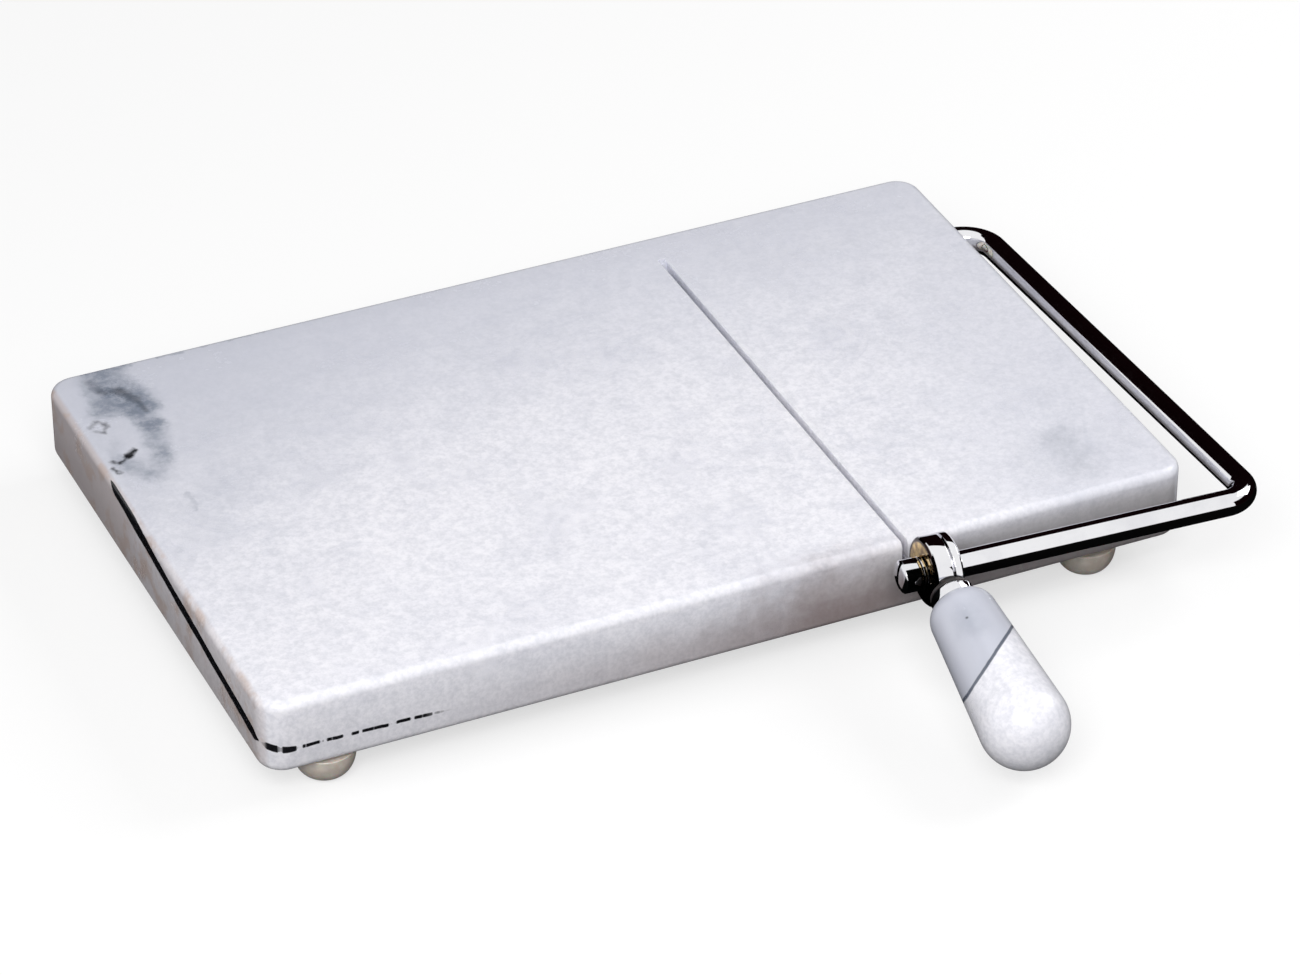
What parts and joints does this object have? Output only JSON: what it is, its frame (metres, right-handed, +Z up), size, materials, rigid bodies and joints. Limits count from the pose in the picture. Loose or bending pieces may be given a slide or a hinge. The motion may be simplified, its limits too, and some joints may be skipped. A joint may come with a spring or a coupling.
{
  "type": "foie gras slicer",
  "caption": "marble board wire slicer with a hinged chrome bow, a cutting wire in a saw cut and a marble handle",
  "frame": {"origin": "on the table, under the middle of the whole slicer's bounding box, with the bow at rest", "axes": "X along the board towards the bow's side leg, Y from the user towards the hinge, Z up"},
  "size_m": [0.2138, 0.1892, 0.0286],
  "materials": {
    "marble": "polished",
    "bumper": "translucent",
    "nylon": "satin",
    "chrome": "polished",
    "steel": "drawn",
    "brass": "turned"
  },
  "bodies": {
    "board": {"marble_board": "marble", "foot_front_left": "bumper", "foot_front_right": "bumper", "foot_rear_left": "bumper", "foot_rear_right": "bumper", "pivot_bush_outer": "nylon", "pivot_bush_inner": "nylon"},
    "arm": {"bow_rod": "chrome", "wire_hub": "chrome", "cutting_wire": "steel", "wire_crimp": "steel", "handle_stud": "steel", "handle_washer": "nylon", "handle_ferrule": "chrome", "handle_insert": "brass", "marble_handle": "marble"},
    "clamp_ring": {"clamp_washer": "chrome"},
    "clamp_knob": {"clamp_screw": "chrome"}
  },
  "joints": [
    {"name": "arm_lift", "type": "hinge", "parent": "board", "child": "arm", "pos_m": [0.06, 0.07557, 0.016], "axis": [-1, 0, 0], "range_deg": [0, 120]},
    {"name": "clamp_draw", "type": "slide", "parent": "arm", "child": "clamp_ring", "axis": [-0.9982, 0.0592, -0.0027], "range_m": [0, 0.001]},
    {"name": "clamp_turn", "type": "hinge", "parent": "clamp_ring", "child": "clamp_knob", "pos_m": [0.03058, -0.04233, 0.0213], "axis": [-0.9982, 0.0592, -0.0027], "range_deg": [0, 720]}
  ],
  "couplings": [
    {"joint": "clamp_turn", "follows": "clamp_draw", "rad_per_m": 12566}
  ]
}
